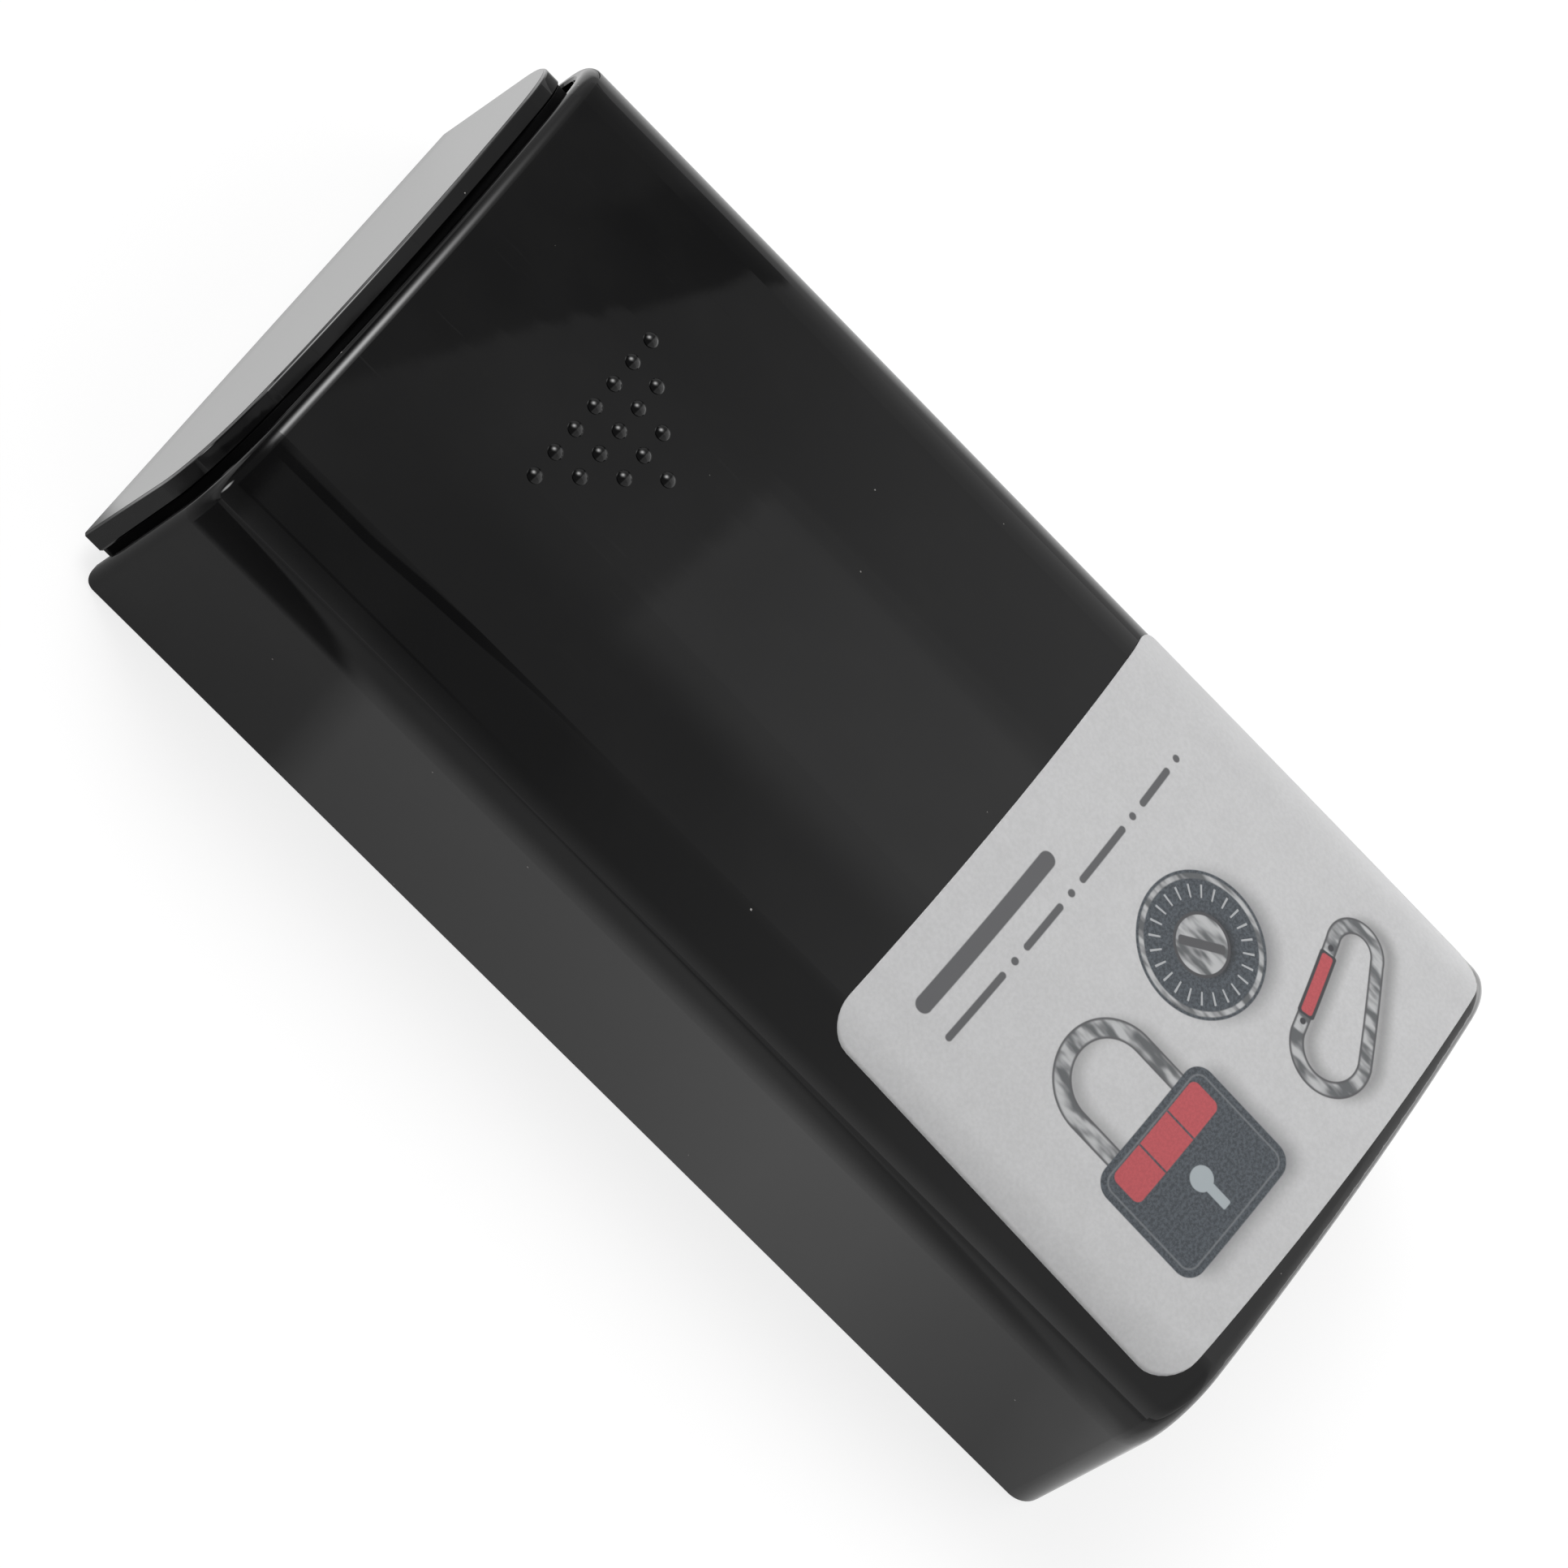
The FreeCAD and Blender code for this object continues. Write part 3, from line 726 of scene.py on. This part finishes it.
class KEYBOX_OT_studio(Operator):
    """Make the floor, the light tent and the camera"""

    bl_idname = "keybox.studio"
    bl_label = "Studio"

    def execute(self, context):
        s = context.scene.keybox_studio
        self.floor(s)
        self.tent(context.scene, s)
        self.camera(context.scene, s)
        return {"FINISHED"}

    def floor(self, s):
        """Round floor just under the magnets' faces: a middle point, and rings of growing
        radius r with points at (r cos a, r sin a) for even steps of the angle a."""
        turns = np.linspace(0, 2 * PI, FLOOR_SIDES + 1)[:-1]
        ring, turn = np.meshgrid(FLOOR_RADII, turns, indexing="ij")
        level = np.full_like(ring, -FLOOR_DROP)
        rings = np.stack([ring * np.cos(turn), ring * np.sin(turn), level], -1).reshape(-1, 3)
        points = np.concatenate([[[0.0, 0.0, -FLOOR_DROP]], rings])
        here = np.arange(FLOOR_SIDES)
        after = (here + 1) % FLOOR_SIDES
        fan = np.stack([np.zeros_like(here), 1 + here, 1 + after], -1)
        low = 1 + FLOOR_SIDES * np.arange(len(FLOOR_RADII) - 1)[:, None]
        high = low + FLOOR_SIDES
        quads = np.stack([low + here, high + here, high + after, low + after], -1).reshape(-1, 4)
        mesh = bpy.data.meshes.new("floor")
        mesh.from_pydata(points.tolist(), [], fan.tolist() + quads.tolist())
        mesh.materials.append(self.pale_floor(s))
        floor = bpy.data.objects.new("floor", mesh)
        bpy.context.scene.collection.objects.link(floor)

    def pale_floor(self, s):
        """Pale paper, which keeps the box's shadow. The camera sees it near white and other surfaces
        are lit by it. Gloss plastic mirrors painted light and shade on it instead: a glow in tones
        along the box, with painted dark patches."""
        made = bpy.data.materials.new("pale_floor")
        made.use_nodes = True
        g = Graph(made.node_tree)
        place = g.object_place()
        paper = g.noise(place, PAPER, 3.0, 0.5)
        away = g.vector("LENGTH", place)
        shade = g.product(
            g.step(away, 0.12, 0.5, 1.0, 0.72),
            g.step(paper, 0.2, 0.8, 0.99, 1.01),
        )
        lit = g.add("ShaderNodeBsdfDiffuse", g.scaled(s.floor, shade))
        dim = g.add("ShaderNodeBsdfDiffuse", (0.24, 0.24, 0.24, 1.0))
        glow = g.add("ShaderNodeEmission", WHITE, 0.80)
        seen = g.add("ShaderNodeAddShader", dim, glow)
        # Glossy rays see painted light and shade instead of the lit paper: a quarter as diffuse
        # colour, the rest as a painted glow.
        tone = self.painted_floor_light(g, place, away)
        sheen = g.add("ShaderNodeBsdfDiffuse", g.math("MULTIPLY", tone, 0.25))
        painted_glow = g.add("ShaderNodeEmission", WHITE, g.math("MULTIPLY", tone, 0.75))
        mirrored = g.add("ShaderNodeAddShader", sheen, painted_glow)
        ray = g.tree.nodes.new("ShaderNodeLightPath")
        through = g.math("MAXIMUM", ray.outputs["Is Camera Ray"], ray.outputs["Is Transmission Ray"])
        plain = g.add("ShaderNodeMixShader", ray.outputs["Is Glossy Ray"], lit, mirrored)
        whole = g.add("ShaderNodeMixShader", through, plain, seen)
        g.add("ShaderNodeOutputMaterial", whole)
        return made

    def painted_floor_light(self, g, place, away):
        """Tones of the painted light and shade that gloss plastic sees on the floor: one strip along
        the box's near side and one round the other sides. Each is a curve of the place along the
        box, in millimetres."""
        x, y, _ = g.split(g.vector("DIVIDE", place, (MM, MM, MM)))
        beside = g.curve(x, [
            (-130.0, 0.90), (-85.0, 0.26), (-36.5, 0.29), (-32.0, 0.54), (-8.0, 0.62),
            (8.0, 0.70), (22.0, 0.81), (34.0, 0.76), (44.0, 0.64), (54.0, 0.55), (60.0, 0.62),
            (66.0, 0.92), (110.0, 1.00),
        ])
        fade = g.product(g.step(y, -80.0, -44.0, 0.72, 1.0), g.step(y, -340.0, -110.0, 0.70, 1.0))
        beside = g.product(beside, fade)
        # Painted shade: a dark patch on the floor beside the tray's end, which the lid's near side
        # mirrors.
        slanted = g.math("MULTIPLY_ADD", y, 0.1, x)
        dark = g.product(
            g.step(x, -37.5, -33.5, 1.0, 0.0),
            g.step(y, -50.0, -44.0, 1.0, 0.0),
            g.step(slanted, -62.2, -60.8),
        )
        beside = g.blend(dark, beside, 0.10)
        beyond = g.curve(x, [
            (-190.0, 0.30), (-150.0, 0.42), (-115.0, 0.75), (-95.0, 0.94), (-64.0, 0.92),
            (-62.2, 0.89), (-61.2, 0.68), (-36.0, 0.76), (0.0, 0.74), (26.0, 0.78),
            (42.0, 0.90), (62.0, 1.00), (80.0, 1.20), (110.0, 1.40),
        ])

        # Far off, the tone goes by how many millimetres sideways there are to a metre.
        aside = g.math("DIVIDE", x, g.math("ADD", away, MM))
        far_off = g.step(aside, 300.0, 500.0, 0.42, 2.6)
        beyond = g.blend(g.step(y, 70.0, 170.0), beyond, far_off)
        # Painted shade: a dark strip in line with the plate's face, past the box's far side.
        corner = g.between(g.math("MULTIPLY_ADD", y, -0.105, x), -64.2, -61.0, 0.3)
        corner = g.product(corner, g.step(y, 40.0, 60.0))
        beyond = g.blend(corner, beyond, 0.18)
        return g.blend(g.step(y, -25.5, -21.0), beside, beyond)

    def tent(self, scene, s):
        """Light tent as a world. A direction (x, y, z) has a tilt of asin(x) along the box and
        a turn of atan2(y, z) across it, in degrees, which give the brightness of the walls and
        strips. Two lamps are added to it. The camera sees plain white."""
        world = bpy.data.worlds.new("light_tent")
        world.use_nodes = True
        scene.world = world
        g = Graph(world.node_tree)
        way = g.add("ShaderNodeTexCoord", out=0)
        x, y, z = g.split(way)
        tilt = g.math("MULTIPLY", g.math("ARCSINE", x), 180 / PI)
        turn = g.math("MULTIPLY", g.math("ARCTAN2", y, z), 180 / PI)
        pattern = self.walls(g, tilt, turn)
        pattern = self.shaded_arch(g, tilt, turn, pattern)
        pattern = self.dark_strips(g, tilt, turn, pattern)
        pattern = self.end_strip(g, tilt, turn, pattern)

        # The tent's end beyond the plate is dark.
        pattern = g.math("MULTIPLY", pattern, g.step(tilt, -62.0, -46.0, 0.12, 1.0))
        strength = g.total(pattern, self.key(g, s, way), self.spark(g, way))
        light = g.add("ShaderNodeBackground", WHITE, strength)
        plain = g.add("ShaderNodeBackground", WHITE, 1.0)

        # Glossy rays see a little of the plain white as well.
        ray = g.tree.nodes.new("ShaderNodeLightPath")
        through = g.math("MAXIMUM", ray.outputs["Is Camera Ray"], ray.outputs["Is Transmission Ray"])
        share = g.math("MULTIPLY", ray.outputs["Is Glossy Ray"], 0.05)
        factor = g.math("ADD", through, share, clamp=True)
        g.add("ShaderNodeOutputWorld", g.add("ShaderNodeMixShader", factor, light, plain))

    def walls(self, g, tilt, turn):
        """The tent's near wall, near slope, middle and far wall follow each other with the
        turn, and each is a curve of the tilt. The near wall brightens towards the floor, and a
        card with a straight edge hangs in the middle."""
        near = g.curve(tilt, [
            (-30.0, 0.08), (3.2, 0.08), (4.2, 0.21), (5.7, 0.21), (6.2, 0.16), (8.0, 0.17),
            (9.6, 0.20), (10.4, 0.28), (11.5, 0.35), (13.0, 0.41), (14.5, 0.53), (19.0, 0.57),
            (30.0, 0.50), (60.0, 0.60),
        ])
        towards_floor = g.curve(turn, [
            (-100.0, 2.1), (-90.0, 1.95), (-84.0, 1.65), (-76.0, 1.25), (-68.0, 1.0), (-30.0, 1.0),
        ])
        near = g.math("MULTIPLY", near, towards_floor)
        slope = g.curve(tilt, [
            (-30.0, 0.45), (0.0, 0.42), (5.5, 0.40), (6.1, 0.27), (9.3, 0.29), (10.4, 0.34),
            (11.5, 0.47), (12.5, 0.56), (14.0, 0.74), (17.0, 0.95), (23.0, 0.90), (30.0, 0.90),
        ])
        middle = g.curve(tilt, [
            (-30.0, 0.45), (0.0, 0.36), (6.0, 0.28), (7.5, 0.36), (9.0, 0.42), (12.0, 0.45),
        ])
        card = g.curve(tilt, [
            (8.0, 0.60), (9.5, 0.64), (10.5, 0.73), (11.5, 0.80), (12.5, 0.86), (18.0, 1.04),
            (23.0, 0.93), (30.0, 0.93), (45.0, 1.00), (60.0, 1.00),
        ])
        middle = g.blend(g.step(tilt, 8.86, 9.12), middle, card)
        far = g.curve(tilt, [
            (-30.0, 0.45), (0.0, 0.28), (5.6, 0.22), (7.0, 0.30), (8.5, 0.37), (9.5, 0.46),
            (10.5, 0.53), (11.5, 0.58), (13.5, 0.70), (17.0, 0.92), (22.0, 1.15), (28.0, 1.25),
            (60.0, 1.05),
        ])
        pattern = g.blend(g.step(turn, -5.0, 9.0), near, slope)
        pattern = g.blend(g.step(turn, 15.0, 22.5), pattern, middle)
        return g.blend(g.step(turn, 37.0, 42.0), pattern, far)

    def shaded_arch(self, g, tilt, turn, pattern):
        """Shade from the end strip up to an arched edge, whose tilt grows with the turn."""
        edge = g.curve(turn, [
            (-15.0, 6.1), (5.0, 6.03), (10.0, 6.04), (14.0, 6.07), (20.5, 6.21), (26.7, 6.45),
            (32.7, 6.69), (38.6, 6.99), (44.3, 7.35), (47.6, 7.52), (51.3, 7.66), (60.0, 7.85),
            (80.0, 7.95), (105.0, 7.95),
        ])
        past = g.math("SUBTRACT", tilt, edge)
        under = g.product(
            g.step(past, -0.07, 0.05, 1.0, 0.0),
            g.step(tilt, 5.6, 5.75),
            g.step(turn, -14.0, -11.0),
        )
        deeper = g.product(g.between(past, -1.0, 0.4, 0.12), g.step(turn, 42.0, 50.0), 0.05)
        return g.blend(under, pattern, g.math("SUBTRACT", 0.155, deeper))

    def dark_strips(self, g, tilt, turn, pattern):
        """Three dark strips: one that narrows along the box, a thin one low on the near wall,
        and one across the box that joins them at the tray's end."""
        middle = g.curve(tilt, [
            (5.0, -7.2), (7.0, -7.2), (7.7, -2.8), (8.4, 0.0), (9.0, 2.0), (12.0, 4.0),
        ])
        width = g.curve(tilt, [(5.8, 5.6), (7.0, 5.2), (8.4, 3.2), (9.2, 1.6)])
        off = g.math("DIVIDE", g.math("ABSOLUTE", g.math("SUBTRACT", turn, middle)), width)
        narrowing = g.product(
            g.step(off, 0.85, 1.15, 1.0, 0.0),
            g.step(tilt, 8.0, 10.0, 0.92, 0.0),
            g.step(tilt, 5.0, 5.8),
        )
        pattern = g.blend(narrowing, pattern, 0.02)
        thin = g.product(
            g.between(turn, -65.0, -61.5, 0.7),
            g.step(tilt, 7.6, 9.6, 0.6, 0.0),
            g.step(tilt, 4.0, 5.8),
        )
        pattern = g.blend(thin, pattern, 0.03)
        share = g.curve(turn, [
            (-96.0, 0.0), (-89.0, 0.55), (-68.0, 0.55), (-63.0, 1.0), (-3.0, 1.0), (1.0, 0.5),
            (7.0, 0.0),
        ])
        across = g.product(g.between(tilt, 5.45, 6.20, 0.06), share)
        return g.blend(across, pattern, 0.0)

    def end_strip(self, g, tilt, turn, pattern):
        """Strip across the box that the plate's edge mirrors, a curve of the turn."""
        strip = g.curve(turn, [
            (-110.0, 0.22), (-96.0, 0.22), (-84.0, 0.29), (-78.0, 0.35), (-72.0, 0.30),
            (-60.0, 0.21), (-30.0, 0.18), (-24.0, 0.27), (-18.0, 0.32), (0.0, 0.31),
            (6.0, 0.36), (18.0, 0.45), (26.0, 0.44), (36.0, 0.38), (48.0, 0.31),
            (66.0, 0.27), (84.0, 0.19), (110.0, 0.15),
        ])
        return g.blend(g.between(tilt, 4.6, 5.76, 0.025), pattern, strip)

    def key(self, g, s, way):
        """Key light: its brightness falls off as exp(-(angle / width)^2) from its middle."""
        middle = Vector((
            math.sin(s.key_tilt) * math.cos(s.key_azimuth),
            math.sin(s.key_tilt) * math.sin(s.key_azimuth),
            math.cos(s.key_tilt),
        ))
        angle = g.math("ARCCOSINE", g.vector("DOT_PRODUCT", way, middle[:]))
        square = g.math("POWER", g.math("DIVIDE", angle, KEY_WIDTH), 2.0)
        lobe = g.math("EXPONENT", g.math("MULTIPLY", square, -1.0))
        return g.product(lobe, s.key_strength)

    def spark(self, g, way):
        """Small lamp low on the near side, towards the tray's end."""
        angle = g.math("ARCCOSINE", g.vector("DOT_PRODUCT", way, SPARK_WAY))
        return g.step(angle, SPARK_CORE, SPARK_EDGE, SPARK_STRENGTH, 0.0)

    def camera(self, scene, s):
        """Camera whose columns are its right, up and backward directions."""
        data = bpy.data.cameras.new("camera")
        data.sensor_width = 36.0
        data.lens = s.focal_length
        data.clip_start, data.clip_end = 0.01, 20.0
        camera = bpy.data.objects.new("camera", data)
        placed = Matrix((CAMERA_RIGHT, CAMERA_UP, CAMERA_BACK)).transposed().to_4x4()
        placed.translation = Vector(CAMERA_AT)
        camera.matrix_world = placed
        scene.collection.objects.link(camera)
        scene.camera = camera
        scene.view_settings.view_transform = "Standard"


OPERATORS = (KEYBOX_OT_lid, KEYBOX_OT_tray, KEYBOX_OT_magnets, KEYBOX_OT_label, KEYBOX_OT_studio)


class KEYBOX_PT_panel(Panel):
    """Key box in the 3D view's sidebar"""

    bl_idname = "KEYBOX_PT_panel"
    bl_label = "Key box"
    bl_space_type = "VIEW_3D"
    bl_region_type = "UI"
    bl_category = "Key Box"

    def draw(self, context):
        for group in ("keybox_lid", "keybox_label", "keybox_studio"):
            settings = getattr(context.scene, group)
            for name in settings.__annotations__:
                self.layout.prop(settings, name)
        for operator in OPERATORS:
            self.layout.operator(operator.bl_idname)


CLASSES = (LidSettings, LabelSettings, StudioSettings, *OPERATORS, KEYBOX_PT_panel)


def register():
    for cls in CLASSES:
        bpy.utils.register_class(cls)
    bpy.types.Scene.keybox_lid = PointerProperty(type=LidSettings)
    bpy.types.Scene.keybox_label = PointerProperty(type=LabelSettings)
    bpy.types.Scene.keybox_studio = PointerProperty(type=StudioSettings)


def unregister():
    del bpy.types.Scene.keybox_studio
    del bpy.types.Scene.keybox_label
    del bpy.types.Scene.keybox_lid
    for cls in reversed(CLASSES):
        bpy.utils.unregister_class(cls)


def main():
    register()
    bpy.ops.keybox.lid()
    bpy.ops.keybox.tray()
    bpy.ops.keybox.magnets()
    bpy.ops.keybox.label()
    bpy.ops.keybox.studio()


if __name__ == "__main__":
    main()
